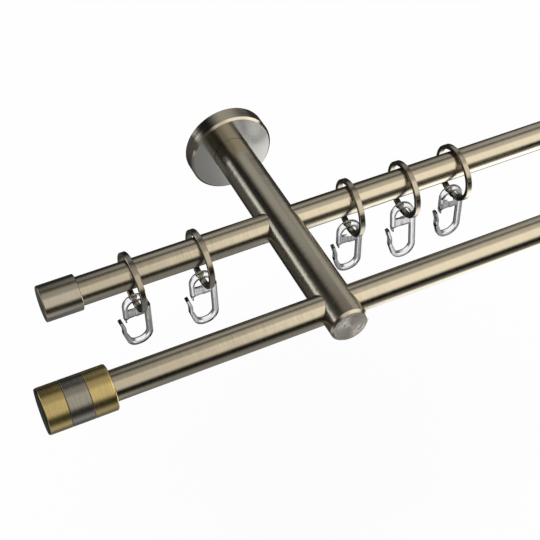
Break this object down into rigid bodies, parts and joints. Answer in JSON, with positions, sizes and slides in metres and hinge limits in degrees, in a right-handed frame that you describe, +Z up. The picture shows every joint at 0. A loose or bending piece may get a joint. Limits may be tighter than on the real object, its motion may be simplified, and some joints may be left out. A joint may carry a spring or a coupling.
{
  "type": "double curtain pole",
  "caption": "Double curtain pole: two round tubes through one turned arm on a round wall rose, with an end cap, a banded finial, and rings with clear hooks.",
  "frame": {"origin": "centre of the wall rose's wall face", "axes": "+X along both poles, away from the finial and the end cap; +Y out of the wall face into the wall, so the arm reaches along -Y into the room; +Z up"},
  "size_m": [0.4225, 0.199, 0.1017],
  "materials": {
    "satin_steel": "satin, warm grey",
    "satin_brass": "satin brass",
    "dark_steel": "dark satin",
    "zinc_plate": "zinc plated",
    "ring_metal": "satin, warm grey",
    "clear_plastic": "clear, glossy"
  },
  "bodies": {
    "pole_set": {"rose": "satin_steel", "arm": "satin_steel", "rear_pole": "satin_steel", "front_pole": "satin_steel", "rear_end_cap": "satin_steel", "finial_core": "dark_steel", "finial_band_inner": "satin_brass", "finial_band_middle": "satin_steel", "finial_band_outer": "satin_brass", "finial_end_disc": "dark_steel", "wall_plate": "zinc_plate", "arm_bolt": "zinc_plate", "rose_grub_screw": "dark_steel", "arm_grub_screw_rear": "dark_steel", "arm_grub_screw_front": "dark_steel", "cap_grub_screw": "dark_steel", "finial_grub_screw": "dark_steel"},
    "ring_1": {"ring_1": "ring_metal"},
    "hook_1": {"hook_1": "clear_plastic"},
    "ring_2": {"ring_2": "ring_metal"},
    "hook_2": {"hook_2": "clear_plastic"},
    "ring_3": {"ring_3": "ring_metal"},
    "hook_3": {"hook_3": "clear_plastic"},
    "ring_4": {"ring_4": "ring_metal"},
    "hook_4": {"hook_4": "clear_plastic"},
    "ring_5": {"ring_5": "ring_metal"},
    "hook_5": {"hook_5": "clear_plastic"}
  },
  "joints": [
    {"name": "ring_1_slide", "type": "slide", "parent": "pole_set", "child": "ring_1", "axis": [1, 0, 0], "range_m": [-0.0335, 0.0105]},
    {"name": "hook_1_swing", "type": "hinge", "parent": "ring_1", "child": "hook_1", "pos_m": [-0.109, -0.0945, -0.02325], "axis": [0.9993, 0.0366, 0], "range_deg": [-52, 48]},
    {"name": "ring_2_slide", "type": "slide", "parent": "pole_set", "child": "ring_2", "axis": [1, 0, 0], "range_m": [-0.0105, 0.0439]},
    {"name": "hook_2_swing", "type": "hinge", "parent": "ring_2", "child": "hook_2", "pos_m": [-0.06, -0.0945, -0.02325], "axis": [0.9999, 0.0122, 0], "range_deg": [-48.7, 51.3]},
    {"name": "ring_3_slide", "type": "slide", "parent": "pole_set", "child": "ring_3", "axis": [1, 0, 0], "range_m": [-0.0378, 0.0078]},
    {"name": "hook_3_swing", "type": "hinge", "parent": "ring_3", "child": "hook_3", "pos_m": [0.0546, -0.0945, -0.02325], "axis": [0.9989, -0.0471, 0], "range_deg": [-51.8, 48.2]},
    {"name": "ring_4_slide", "type": "slide", "parent": "pole_set", "child": "ring_4", "axis": [1, 0, 0], "range_m": [-0.0078, 0.0068]},
    {"name": "hook_4_swing", "type": "hinge", "parent": "ring_4", "child": "hook_4", "pos_m": [0.0978, -0.0945, -0.02325], "axis": [0.9999, -0.014, 0], "range_deg": [-44.5, 55.5]},
    {"name": "ring_5_slide", "type": "slide", "parent": "pole_set", "child": "ring_5", "axis": [1, 0, 0], "range_m": [-0.0068, 0.082]},
    {"name": "hook_5_swing", "type": "hinge", "parent": "ring_5", "child": "hook_5", "pos_m": [0.1389, -0.0945, -0.02325], "axis": [0.9998, 0.0175, 0], "range_deg": [-50.5, 49.5]}
  ]
}
